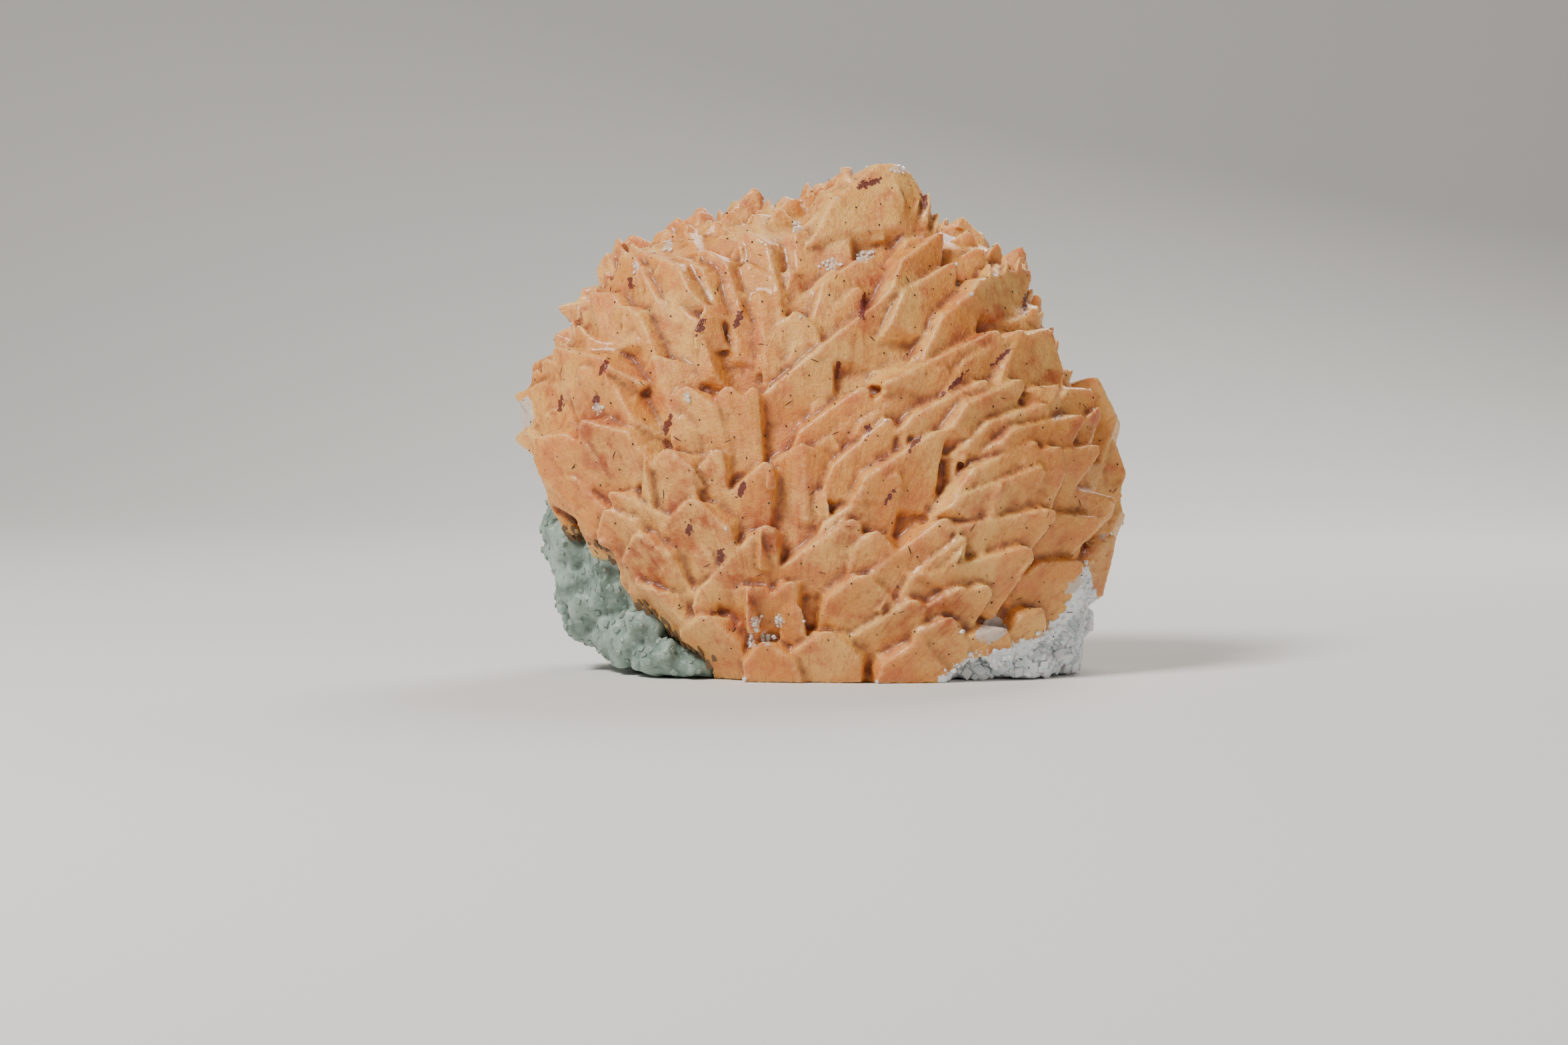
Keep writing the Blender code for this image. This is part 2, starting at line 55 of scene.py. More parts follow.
cad_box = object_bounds()

# Sizes and places below are in millimetres, and colours are linear, unless a line says otherwise

# How fine the two skins are, and how many triangles a skin may keep
CALCITE_VOXEL = 0.36
ROCK_VOXEL = 0.55
MERGE_DISTANCE = 0.001
TRIANGLE_LIMIT = 190000

# Small crystals that grow on the others: where, form, spacing, smallest and largest width, and how far
# the tip stands out
GROWTHS = (
    ("right_side", "fin", 2.6, 1.0, 3.0, 0.35),
    ("left_side", "tooth", 3.6, 1.6, 4.2, 0.35),
    ("bare_side", "tooth", 5.0, 3.0, 5.5, 0.9),
    ("bare_top", "tooth", 3.6, 3.0, 5.5, 2.6),
)
GROWTH_TWIST = 0.15
GROWTH_SEED = 7

# Where they grow: on ridges, less on flats, and neither near the rock nor on undersides
GROWTH_OFF_ROCK = 1.2
GROWTH_LOWEST = 1.5
GROWTH_STEEPEST_UNDERSIDE = -0.5
RIDGE_ROUNDS = 8
RIDGE_HEIGHT = 0.2
SHARE_ON_FLATS = 0.15
RIGHT_SIDE = (2, 8)
BARE_SIDE_ROUNDS = 60
BARE_SIDE_FLATNESS = 0.5
BARE_SIDE_LEFT_OF = -16
BARE_SIDE_BEHIND = -8
BARE_TOP_ROUNDS = 30
BARE_TOP_FLATNESS = 0.35
BARE_TOP_FACING = 0.55
BARE_TOP_BEHIND = -9
BARE_TOP_LOWEST = 40

# The rock's lumps: mask, spacing, smallest and largest width, lift, twist and seed
ROCK_LUMPS = ("open_side", 1.9, 2.0, 4.6, -0.9, 3.0, 7)
LUMPS_OFF_CALCITE = 1.8
LUMPS_LOWEST = 1.5

# The skins' relief: blotch size and depth, broad and fine, faded out close to the other piece
CALCITE_RELIEF = (3.2, 0.5, 1.1, 0.24)
ROCK_RELIEF = (5.0, 1.6, 1.2, 0.5)
RELIEF_FADE = (0.2, 1.6)
RELIEF_REST_LEVEL = 0.62

# What is scattered over a skin, as a piece of its own: slot, form, mask, spacing, smallest and largest
# width, lift, twist and seed
CRUMBS = {
    "seam_crystals": ("calcite", "tooth", "seam", 1.1, 0.5, 1.1, 0.3, 0.6, 3),
    "frost_crumbs": ("calcite", "grain", "frosted", 0.6, 0.2, 0.7, 0.05, 3.0, 5),
    "dust_specks": ("calcite", "grain", "dusty", 3.2, 0.10, 0.28, 0.0, 3.0, 6),
    "lint": ("calcite", "fibre", "dusty", 8.0, 0.8, 1.6, 0.05, 3.0, 8),
    "crust_grains": ("host_rock", "grain", "grainy", 0.9, 0.6, 1.7, 0.1, 3.0, 9),
    "edge_grains": ("calcite", "lump", "crusted", 0.9, 0.5, 1.4, 0.0, 3.0, 11),
    "rock_grains": ("host_rock", "grain", "sugary", 1.5, 0.3, 1.1, -0.15, 3.0, 10),
}

# Its finish: name, colour, roughness and translucency
CRUMB_FINISHES = {
    "seam_crystals": ("brown_seam", (0.20, 0.11, 0.05), 0.5, 0.0),
    "frost_crumbs": ("frost", (0.88, 0.80, 0.72), 0.15, 0.3),
    "dust_specks": ("dust", (0.03, 0.02, 0.015), 0.7, 0.0),
    "lint": ("lint", (0.02, 0.02, 0.02), 0.9, 0.0),
    "crust_grains": ("white_crust", (0.95, 0.97, 0.98), 0.3, 0.3),
    "edge_grains": ("sugar_crust", (0.95, 0.97, 0.98), 0.3, 0.3),
    "rock_grains": ("rock_sugar", (0.30, 0.39, 0.34), 0.25, 0.2),
}
CRUMB_SHADE = 0.72
CRUMB_BLOTCHES = 1.6
CRUMB_GLOW_DEPTH = 1.0

# How the scattered forms are made, in widths of the form, and how far they wobble, in radians
GRAIN_BEVEL = 0.12
GRAIN_LEAN = (0.28, 0.18)
LUMP_POINTS = 22
LUMP_RADII = (0.42, 0.52)
LUMP_SEED = 2
WOBBLE = 0.12
TRIES_A_SPACING = 4.0

# Seen from the front, the crystals fan out from this point, as (x, height), and lean a little less.
# They lean forwards low down, and less and less higher up and towards the back.
FAN = (-4.0, -18.0)
FAN_LEAN = 0.75
FORWARD_LEAN = -0.6
LEAN_BACK_A_MM = 0.01
REAR_LEAN = 0.5
REAR_DEPTH = 25

# Marks that relief makes: rounds of smoothing it is measured from, and the height at which the mark
# starts and is full, which is below 0 in hollows. Hollows get painted shade, creases painted shade that
# stands in part for iron stain, edges a painted highlight along their rims, and tips an orange stain
RELIEF_MARKS = {
    "hollow_shade": (40, -0.045, -0.495),
    "crease_stain_and_shade": (10, -0.032, -0.192),
    "edge": (5, 0.024, 0.144),
    "tip": (90, 0.4, 1.2),
}
ROCK_HOLLOW_ROUNDS = 12
ROCK_HOLLOW_DEPTH = -0.4

# Marks seen from the front, as (x, height, half length, half width, tilt to the right in degrees)
RUST_MARKS = (
    (-12.2, 58.3, 1.5, 0.5, 20), (-18.3, 57.2, 1.4, 0.6, 25), (7.8, 60.3, 2.2, 0.5, 5),
    (34.8, 61.1, 1.8, 0.4, 8), (-30.0, 64.4, 1.2, 0.5, -15), (-35.2, 45.3, 1.1, 0.6, 0),
    (-11.7, 31.1, 1.5, 0.5, 25), (8.6, 40.6, 1.4, 0.4, 10), (3.9, 50.8, 1.8, 0.35, 12),
    (9.2, 80.6, 2.6, 0.5, 75), (18.2, 78.9, 2.6, 0.5, -5), (-34.0, 50.5, 1.5, 0.5, 30),
    (-23.5, 41.5, 1.8, 0.5, 20), (22.5, 48.0, 2.8, 0.4, 45), (16.0, 38.5, 2.0, 0.35, 40),
    (-20.0, 25.0, 1.4, 0.5, 5), (-15.0, 20.5, 1.2, 0.6, 0), (30.0, 52.0, 2.4, 0.35, 50),
    (12.0, 30.0, 1.8, 0.35, 35), (-41.5, 44.5, 1.2, 0.5, 0),
)
ORANGE_MARKS = (
    (39.0, 52.0, 5.5, 1.6, 5), (-20.0, 27.0, 6.0, 3.5, 0), (-28.0, 20.0, 5.0, 3.5, -20),
    (-46.0, 50.0, 4.0, 2.5, -30), (-8.0, 26.0, 5.0, 2.5, 10), (5.0, 22.0, 5.0, 2.0, 10),
    (18.0, 11.0, 7.0, 3.0, 60), (-35.0, 40.0, 5.0, 3.0, -10), (45.0, 40.0, 4.0, 2.0, 40),
    (-12.0, 14.0, 6.0, 3.0, 0), (28.0, 58.0, 5.0, 2.0, 30), (9.0, 62.0, 4.0, 2.0, 10),
)
FROST_MARKS = (
    (-2.7, 73.6, 0.9, 0.7, 0), (8.4, 68.6, 1.6, 0.8, 60), (2.8, 67.2, 1.1, 0.8, 60),
    (-9.4, 10.0, 0.9, 0.7, 0), (-5.6, 10.2, 0.9, 0.7, 0), (-7.8, 7.4, 1.0, 0.7, 0),
    (-10.2, 6.7, 0.8, 0.6, 0), (-35.0, 44.0, 0.8, 0.6, 0), (-20.5, 46.0, 0.8, 0.6, 0),
    (14.0, 83.0, 1.2, 0.6, 80), (-24.0, 70.5, 1.0, 0.6, 0), (-29.0, 67.0, 0.8, 0.5, 0),
)
CLEAR_MARKS = (
    (-47.8, 42.5, 2.6, 1.4, 10), (48.6, 23.0, 1.2, 0.8, 45), (-44.2, 55.6, 1.8, 1.5, 0),
    (-40.5, 60.5, 1.6, 1.2, 0), (28.5, 8.5, 2.6, 1.6, 70), (42.5, 15.0, 2.0, 1.0, 60),
    (50.5, 30.0, 2.0, 0.8, 10),
)
MARK_FADE = (1.6, 0.6)
MARKS_IN_FRONT_OF = 4
FROST_FACING = -0.25
FROST_ON_TIPS = 0.05
FROST_OFF_ROCK = 1.5

# The seam's brown crystals lie at the lower left, and dust lies on the front
SEAM_OFF_ROCK = (0.5, 3.0)
SEAM_LEFT_OF = -14
SEAM_HEIGHTS = (3, 31)
SEAM_IN_FRONT_OF = 5
DUST_OFF_ROCK = 1.5
DUST_LOWEST = 3
DUST_IN_FRONT_OF = 10

# The white crust at the lower right: its upper edge as (x, height), and where it fades
CRUST_EDGE = ((19, 0), (24, 3.5), (30, 5.5), (36, 7), (40, 10), (43, 15), (45, 19), (47, 12), (52, 10))
CRUST_FADE = (-1, 1)
CRUST_BACK_FADE = (6, 2)
CRUST_LOWEST = 1
ROCK_CRUST_RIGHT = (14, 20)
ROCK_CRUST_TOP = (22, 18)
ROCK_CRUST_BACK = (8, 2)
CRUST_GRAINS_OFF_CALCITE = 0.4
CRUST_GRAINS_LOWEST = 0.8
ROCK_GRAINS_OFF_CALCITE = 1.0
ROCK_GRAINS_LOWEST = 1.2
ROCK_GRAINS_MOST_WHITE = 0.3

# The colours
PEACH = (0.76, 0.30, 0.044, 1)
PALE_PEACH = (0.86, 0.47, 0.12, 1)
PINK = (0.66, 0.19, 0.050, 1)
# The orange below is the crystals' own stain, streak and blotch colour, and also their painted shade in
# hollows
ORANGE = (0.46, 0.085, 0.006, 1)
# The brown below is painted shade in the crystals' creases, standing in part for iron stain
BROWN = (0.15, 0.026, 0.004, 1)
# The pale rim colour below is a painted highlight and glow along the crystals' edges
RIM_HIGHLIGHT = (0.95, 0.66, 0.30, 1)
RUST = (0.13, 0.006, 0.004, 1)
CLEAR = (0.62, 0.58, 0.54, 1)
WHITE = (0.88, 0.84, 0.78, 1)
ROCK_DARK = (0.17, 0.24, 0.20, 1)
ROCK_PALE = (0.35, 0.45, 0.39, 1)
# The dark grey-green below is painted shade in the rock's hollows
ROCK_HOLLOW_SHADE = (0.09, 0.12, 0.10, 1)
CRUST_WHITE = (0.93, 0.95, 0.96, 1)
FLOOR_GREY = (0.78, 0.77, 0.75, 1)

# What is even over a surface; a glow's depth is in metres
CALCITE_SURFACE = {
    "Subsurface Weight": 0.7,
    "Subsurface Radius": (1.0, 0.40, 0.14),
    "Subsurface Scale": 0.0020,
    "IOR": 1.6,
    "Coat Weight": 0.2,
    "Coat Roughness": 0.12,
}
ROCK_SURFACE = {
    "Subsurface Weight": 0.2,
    "Subsurface Radius": (0.8, 0.9, 0.8),
    "Subsurface Scale": 0.0012,
    "Roughness": 0.42,
}
FLOOR_SURFACE = {"Base Color": FLOOR_GREY, "Roughness": 0.9}
CALCITE_BUMP = (0.28, 1.0)
ROCK_BUMP = (0.25, 0.8)
NOISE_ROUGHNESS = 0.55

# Streaks are stretched along the crystals' growth: metres across for each radian, and the share of
# the length along it
STREAK_ACROSS = 0.07
STREAK_ALONG = 0.22

# The photograph's frame in pixels, and how many of its pixels make a millimetre on the specimen
PHOTO_WIDTH = 2352
PHOTO_MIDDLE = (1176, 784)
ORIGIN_PIXEL = (1220, 1005)
PIXELS_PER_MM = 9.0
LENS = 85.0
SENSOR = 36.0
CAMERA_RISE = 3.0
NEAREST_SEEN = 0.01

# The studio, in metres and watts: the floor, the curved wall behind it and the lamps as name, place,
# size, power and colour
FLOOR_FRONT = -1.2
FLOOR_BACK = 0.45
FLOOR_HALF_WIDTH = 2.0
WALL_CURVE = 0.5
WALL_CURVE_STEPS = 12
WALL_TOP = 1.6
LAMP_TARGET = (0, 0, 0.04)
LAMPS = (
    ("key", (-0.38, -0.36, 0.60), 0.20, 7.4, (1.0, 0.97, 0.93)),
    ("fill", (0.55, -0.55, 0.22), 0.60, 0.9, (1.0, 0.96, 0.90)),
    ("back", (0.20, 0.45, 0.45), 0.30, 3.0, (1.0, 0.96, 0.9)),
)
SKY_COLOR = (1.0, 0.98, 0.95, 1)
SKY_STRENGTH = 0.15


# Node helpers

def add_node(tree, kind, values=(), **settings):
    """Adds a node, sets its properties, and sets or links its inputs, given as (socket, value)."""
    node = tree.nodes.new(kind)
    for name, value in settings.items():
        setattr(node, name, value)
    for socket, value in values:
        if isinstance(value, bpy.types.NodeSocket):
            tree.links.new(value, node.inputs[socket])
        else:
            node.inputs[socket].default_value = value
    return node


def arithmetic(tree, operation, first, second=0.0, clamp=False):
    """Adds a maths node and gives its result."""
    node = add_node(tree, "ShaderNodeMath", ((0, first), (1, second)), operation=operation, use_clamp=clamp)
    return node.outputs[0]


def vector(tree, x, y, z):
    """Joins three numbers to a vector."""
    return add_node(tree, "ShaderNodeCombineXYZ", ((0, x), (1, y), (2, z))).outputs[0]


def scaled(tree, direction, length):
    """Multiplies a vector by a number."""
    node = add_node(tree, "ShaderNodeVectorMath", ((0, direction), ("Scale", length)), operation="SCALE")
    return node.outputs[0]


def ramp_between(tree, value, low, high):
    """Gives 0 below low, 1 above high and a smooth ramp between."""
    node = add_node(
        tree, "ShaderNodeMapRange",
        (("Value", value), ("From Min", low), ("From Max", high)),
        interpolation_type="SMOOTHSTEP",
    )
    return node.outputs["Result"]


def noise(tree, place, size, detail=3.0):
    """Gives a soft noise whose blotches measure about size millimetres."""
    node = add_node(
        tree, "ShaderNodeTexNoise",
        (("Vector", place), ("Scale", 1 / (size * MM)), ("Detail", detail), ("Roughness", NOISE_ROUGHNESS)),
    )
    return node.outputs[0]


def mix_colors(tree, share, first, second):
    """Blends two colours."""
    node = add_node(tree, "ShaderNodeMix", ((0, share), (6, first), (7, second)), data_type="RGBA")
    return node.outputs[2]


def cover(tree, under, over, strength, *shares):
    """Lays a colour over another by the product of some shares and a strength."""
    share = shares[0]
    for factor in (*shares[1:], strength):
        share = arithmetic(tree, "MULTIPLY", share, factor)
    return mix_colors(tree, share, under, over)


def new_tree(name, sockets):
    """Starts a Geometry Nodes tree with a geometry input and output, and its named inputs."""
    tree = bpy.data.node_groups.new(name, "GeometryNodeTree")
    tree.interface.new_socket("Geometry", in_out="INPUT", socket_type="NodeSocketGeometry")
    tree.interface.new_socket("Geometry", in_out="OUTPUT", socket_type="NodeSocketGeometry")
    for label, kind in sockets:
        tree.interface.new_socket(label, in_out="INPUT", socket_type="NodeSocket" + kind)
    return tree, tree.nodes.new("NodeGroupInput"), tree.nodes.new("NodeGroupOutput")


def run_tree(item, tree, values):
    """Runs a tree on an object and gives the result as a plain mesh."""
    modifier = item.modifiers.new(tree.name, "NODES")
    modifier.node_group = tree
    sockets = {socket.name: socket.identifier for socket in tree.interface.items_tree}
    for label, value in values.items():
        modifier[sockets[label]] = value
    mesh = bake(item)
    item.modifiers.remove(modifier)
    return mesh


# Mesh helpers

def bake(item):
    """Gives an object's evaluated shape as a plain mesh."""
    graph = bpy.context.evaluated_depsgraph_get()
    return bpy.data.meshes.new_from_object(item.evaluated_get(graph))


def show(name, mesh):
    """Adds an object that shows a mesh."""
    item = bpy.data.objects.new(name, mesh)
    bpy.context.scene.collection.objects.link(item)
    return item


def mesh_from(name, shell):
    """Turns an edited shell into a mesh."""
    mesh = bpy.data.meshes.new(name)
    shell.to_mesh(mesh)
    shell.free()
    return mesh


def merged_copy(node, name):
    """Copies a node of the frame and merges its loose triangles."""
    shell = bmesh.new()
    shell.from_mesh(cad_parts[node].data)
    bmesh.ops.remove_doubles(shell, verts=shell.verts, dist=MERGE_DISTANCE * MM)
    return show(name, mesh_from(name, shell))


def remesh(item, voxel):
    """Turns an object into one even skin, which fuses what overlaps."""
    modifier = item.modifiers.new("skin", "REMESH")
    modifier.mode = "VOXEL"
    modifier.voxel_size = voxel * MM
    modifier.use_smooth_shade = True
    item.data = bake(item)
    item.modifiers.clear()


def thin_out(item, limit):
    """Collapses flat stretches until an object has fewer triangles than the limit."""
    item.data.calc_loop_triangles()
    count = len(item.data.loop_triangles)
    if count <= limit:
        return
    modifier = item.modifiers.new("thin", "DECIMATE")
    modifier.ratio = limit / count
    item.data = bake(item)
    item.modifiers.clear()


def keep_in_box(mesh):
    """Flattens what has grown out of the specimen's box, such as below its underside."""
    places = np.clip(vertex_positions(mesh), cad_box[0], cad_box[1])
    mesh.vertices.foreach_set("co", places.astype(np.float32).ravel())


def vertex_positions(mesh):
    """Gives the vertices in metres as an array."""
    places = np.empty(len(mesh.vertices) * 3, np.float32)
    mesh.vertices.foreach_get("co", places)
    return places.reshape(-1, 3).astype(float)


def vertex_normals(mesh):
    """Gives the vertex normals as an array."""
    normals = np.empty(len(mesh.vertices) * 3, np.float32)
    mesh.vertex_normals.foreach_get("vector", normals)
    return normals.reshape(-1, 3).astype(float)


def relief(mesh, rounds):
    """Measures how far each vertex stands above the surface smoothed by some rounds."""
    places = vertex_positions(mesh)
    ends = np.empty(len(mesh.edges) * 2, np.int32)
    mesh.edges.foreach_get("vertices", ends)
    first, second = ends.reshape(-1, 2).T
    count = len(places)
    degree = np.maximum(np.bincount(first, minlength=count) + np.bincount(second, minlength=count), 1)
    smooth = places.copy()
    for _ in range(rounds):
        sums = np.empty_like(smooth)
        for axis in range(3):
            column = smooth[:, axis]
            sums[:, axis] = np.bincount(first, column[second], count)
            sums[:, axis] += np.bincount(second, column[first], count)
        smooth = 0.5 * smooth + 0.5 * sums / degree[:, None]
    return np.einsum("ij,ij->i", places - smooth, vertex_normals(mesh)) / MM


def distance_to(mesh, other):
    """Measures how far each vertex of a mesh is from another object."""
    shell = BVHTree.FromObject(other, bpy.context.evaluated_depsgraph_get())
    return np.array([shell.find_nearest(place)[3] for place in vertex_positions(mesh)]) / MM


def share_between(values, none, full):
    """Gives 0 at the first limit and before it, 1 at the second and past it, and a ramp between."""
    return np.clip((values - none) / (full - none), 0, 1)


def store(mesh, name, values):
    """Keeps one number a vertex on a mesh."""
    layer = mesh.attributes.new(name, "FLOAT", "POINT")
    layer.data.foreach_set("value", np.clip(values, 0, 1).astype(np.float32))


def store_direction(mesh, name, directions):
    """Keeps one direction a vertex on a mesh."""
    layer = mesh.attributes.new(name, "FLOAT_VECTOR", "POINT")
    layer.data.foreach_set("vector", directions.astype(np.float32).ravel())


# The small forms, each about one unit wide

def hull_form(name, points):
    """Makes a small form as the convex solid around some points."""
    shell = bmesh.new()
    for point in points:
        shell.verts.new(point)
    bmesh.ops.convex_hull(shell, input=shell.verts)
    bmesh.ops.recalc_face_normals(shell, faces=shell.faces)
    return show(name, mesh_from(name, shell))


def make_tooth():
    """Makes a flat tooth with its front towards -Y and its tip at the origin."""
    return hull_form("tooth", (
        (-0.16, 0, -0.06), (0.16, 0, -0.06), (0.5, -0.08, -0.5), (-0.5, -0.08, -0.5), (0.62, -0.12, -2.1),
        (-0.62, -0.12, -2.1), (0.0, 0.35, -0.5), (0.5, 0.5, -2.1), (-0.5, 0.5, -2.1), (0, -0.16, -0.6),
    ))


def make_fin():
    """Makes a fin whose long slope rises to a tip at its right."""
    return hull_form("fin", (
        (0, 0, 0), (0.14, 0, -0.2), (0.34, -0.08, -2.1), (-0.85, -0.06, -0.85), (-0.95, -0.12, -2.1),
        (-0.1, 0.35, -0.6), (0.28, 0.5, -2.1), (-0.85, 0.5, -2.1),
    ))


def make_fibre():
    """Makes a bent fibre of lint that lies along X."""
    return hull_form("fibre", (
        (-0.5, -0.03, 0), (-0.5, 0.03, 0), (0.5, 0.05, 0), (0.5, 0.10, 0), (0, 0, 0.05), (0, -0.05, 0.02),
    ))


def make_lump():
    """Makes a blunt, uneven lump."""
    chance = np.random.default_rng(LUMP_SEED)
    points = chance.normal(size=(LUMP_POINTS, 3))
    points /= np.linalg.norm(points, axis=1)[:, None]
    return hull_form("lump", points * chance.uniform(*LUMP_RADII, (LUMP_POINTS, 1)))


def make_grain():
    """Makes a rough rhomb."""
    shell = bmesh.new()
    bmesh.ops.create_cube(shell, size=1.0)
    bmesh.ops.bevel(
        shell, geom=shell.edges, offset=GRAIN_BEVEL, segments=1, affect="EDGES", profile=0.5,
    )
    for vert in shell.verts:
        vert.co.x += GRAIN_LEAN[0] * vert.co.z
        vert.co.y += GRAIN_LEAN[1] * vert.co.x
    return show("grain", mesh_from("grain", shell))


FORMS = {"tooth": make_tooth, "fin": make_fin, "fibre": make_fibre, "lump": make_lump, "grain": make_grain}


# The trees that scatter small forms and roughen a skin

def turned_to(tree, upward, inward):
    """Gives the rotation that stands a form up along a direction, with its back turned inward if asked."""
    turn = add_node(tree, "FunctionNodeAlignRotationToVector", (("Vector", upward),), axis="Z")
    if inward is not None:
        turn = add_node(
            tree, "FunctionNodeAlignRotationToVector",
            (("Rotation", turn.outputs[0]), ("Vector", inward)),
            axis="Y", pivot_axis="Z",
        )
    return turn.outputs[0]


def scatter_tree(name, on_crystals, keep_ground):
    """Builds the tree that scatters a form where a mask allows it, along the growth or upright."""
    tree, given, result = new_tree(name, (
        ("Form", "Object"), ("Mask", "String"), ("Spacing", "Float"), ("Smallest", "Float"),
        ("Largest", "Float"), ("Lift", "Float"), ("Twist", "Float"), ("Seed", "Int"), ("Finish", "Material"),
    ))
    seed = given.outputs["Seed"]
    spacing = given.outputs["Spacing"]
    twist = given.outputs["Twist"]
    mask = add_node(
        tree, "GeometryNodeInputNamedAttribute", ((0, given.outputs["Mask"]),), data_type="FLOAT",
    )
    density = arithmetic(tree, "DIVIDE", TRIES_A_SPACING, arithmetic(tree, "MULTIPLY", spacing, spacing))
    points = add_node(
        tree, "GeometryNodeDistributePointsOnFaces",
        (("Mesh", given.outputs["Geometry"]), ("Distance Min", spacing), ("Density Max", density),
         ("Density Factor", mask.outputs[0]), ("Seed", seed)),
        distribute_method="POISSON",
    )
    upward = points.outputs["Normal"]
    inward = None
    if on_crystals:
        inward = scaled(tree, upward, -1.0)
        growth = add_node(
            tree, "GeometryNodeInputNamedAttribute", ((0, "growth"),), data_type="FLOAT_VECTOR",
        )
        upward = growth.outputs[0]
    least = arithmetic(tree, "MULTIPLY", twist, -1.0)
    spin = add_node(
        tree, "FunctionNodeRandomValue",
        (("Min", vector(tree, -WOBBLE, -WOBBLE, least)), ("Max", vector(tree, WOBBLE, WOBBLE, twist)),
         ("Seed", seed)),
        data_type="FLOAT_VECTOR",
    )
    turned = add_node(
        tree, "FunctionNodeRotateRotation",
        (("Rotation", turned_to(tree, upward, inward)), ("Rotate By", spin.outputs[0])),
        rotation_space="LOCAL",
    )
    size = add_node(
        tree, "FunctionNodeRandomValue",
        ((2, given.outputs["Smallest"]), (3, given.outputs["Largest"]), ("Seed", seed)),
        data_type="FLOAT",
    )
    lifted = add_node(
        tree, "GeometryNodeSetPosition",
        (("Geometry", points.outputs["Points"]), ("Offset", scaled(tree, upward, given.outputs["Lift"]))),
    )
    form = add_node(tree, "GeometryNodeObjectInfo", ((0, given.outputs["Form"]),))
    copies = add_node(
        tree, "GeometryNodeInstanceOnPoints",
        (("Points", lifted.outputs[0]), ("Instance", form.outputs["Geometry"]),
         ("Rotation", turned.outputs[0]), ("Scale", size.outputs[1])),
    )
    shape = add_node(tree, "GeometryNodeRealizeInstances", ((0, copies.outputs[0]),))
    if keep_ground:
        forms = shape
        shape = add_node(tree, "GeometryNodeJoinGeometry", ((0, forms.outputs[0]),))
        tree.links.new(given.outputs["Geometry"], shape.inputs[0])
    finished = add_node(
        tree, "GeometryNodeSetMaterial", ((0, shape.outputs[0]), ("Material", given.outputs["Finish"])),
    )
    tree.links.new(finished.outputs[0], result.inputs[0])
    return tree


def roughen_tree(name):
    """Builds the tree that pushes a skin in and out, less where it comes close to its neighbour."""
    tree, given, result = new_tree(name, (
        ("Neighbour", "Object"), ("Broad size", "Float"), ("Broad depth", "Float"),
        ("Fine size", "Float"), ("Fine depth", "Float"), ("Finish", "Material"),
    ))
    place = tree.nodes.new("GeometryNodeInputPosition").outputs[0]
    normal = tree.nodes.new("GeometryNodeInputNormal").outputs[0]
    neighbour = add_node(tree, "GeometryNodeObjectInfo", ((0, given.outputs["Neighbour"]),))
    near = add_node(
        tree, "GeometryNodeProximity", ((0, neighbour.outputs["Geometry"]),), target_element="FACES",
    )
    freedom = ramp_between(tree, near.outputs["Distance"], *(limit * MM for limit in RELIEF_FADE))
    pushes = []
    for label in ("Broad", "Fine"):
        scale = arithmetic(tree, "DIVIDE", 1.0, given.outputs[label + " size"])
        wave = add_node(tree, "ShaderNodeTexNoise", (("Vector", place), ("Scale", scale), ("Detail", 3.0)))
        centred = arithmetic(tree, "SUBTRACT", wave.outputs[0], RELIEF_REST_LEVEL)
        pushes.append(arithmetic(tree, "MULTIPLY", centred, given.outputs[label + " depth"]))
    push = arithmetic(tree, "MULTIPLY", arithmetic(tree, "ADD", *pushes), freedom)
    moved = add_node(
        tree, "GeometryNodeSetPosition",
        (("Geometry", given.outputs["Geometry"]), ("Offset", scaled(tree, normal, push))),
    )
    solid = add_node(tree, "GeometryNodeRealizeInstances", ((0, moved.outputs[0]),))
    finished = add_node(
        tree, "GeometryNodeSetMaterial", ((0, solid.outputs[0]), ("Material", given.outputs["Finish"])),
    )
    tree.links.new(finished.outputs[0], result.inputs[0])
    return tree


def scatter(ground, tree, form, finish, mask, spacing, smallest, largest, lift, twist, seed):
    """Scatters a form over an object by a tree, and gives the result as a plain mesh."""
    sample = FORMS[form]()
    mesh = run_tree(ground, tree, {
        "Form": sample, "Mask": mask, "Spacing": spacing * MM, "Smallest": smallest * MM,
        "Largest": largest * MM, "Lift": lift * MM, "Twist": twist, "Seed": seed, "Finish": finish,
    })
    bpy.data.objects.remove(sample)
    return mesh


def roughen(item, name, neighbour, sizes, finish):
    """Gives an object's skin its relief."""
    broad_size, broad_depth, fine_size, fine_depth = (size * MM for size in sizes)
    item.data = run_tree(item, roughen_tree(name), {
        "Neighbour": neighbour, "Broad size": broad_size, "Broad depth": broad_depth,
        "Fine size": fine_size, "Fine depth": fine_depth, "Finish": finish,
    })


# Finishes

def new_material(name, surface):
    """Starts a material with its even values, and gives its tree, its shader and its Object coordinates."""
    material = bpy.data.materials.new(name)
    material.use_nodes = True
    tree = material.node_tree
    shader = tree.nodes["Principled BSDF"]
    for label, value in surface.items():
        shader.inputs[label].default_value = value
    place = tree.nodes.new("ShaderNodeTexCoord").outputs["Object"]
    return material, tree, shader, place


def attribute(tree, name):
    """Reads one number a vertex."""
    return add_node(tree, "ShaderNodeAttribute", (), attribute_name=name).outputs["Fac"]


def bump(tree, shader, height, depth, strength):
    """Adds a bump of a height in shares of a depth in millimetres."""
    node = add_node(
        tree, "ShaderNodeBump", (("Height", height), ("Distance", depth * MM), ("Strength", strength)),
    )
    tree.links.new(node.outputs[0], shader.inputs["Normal"])


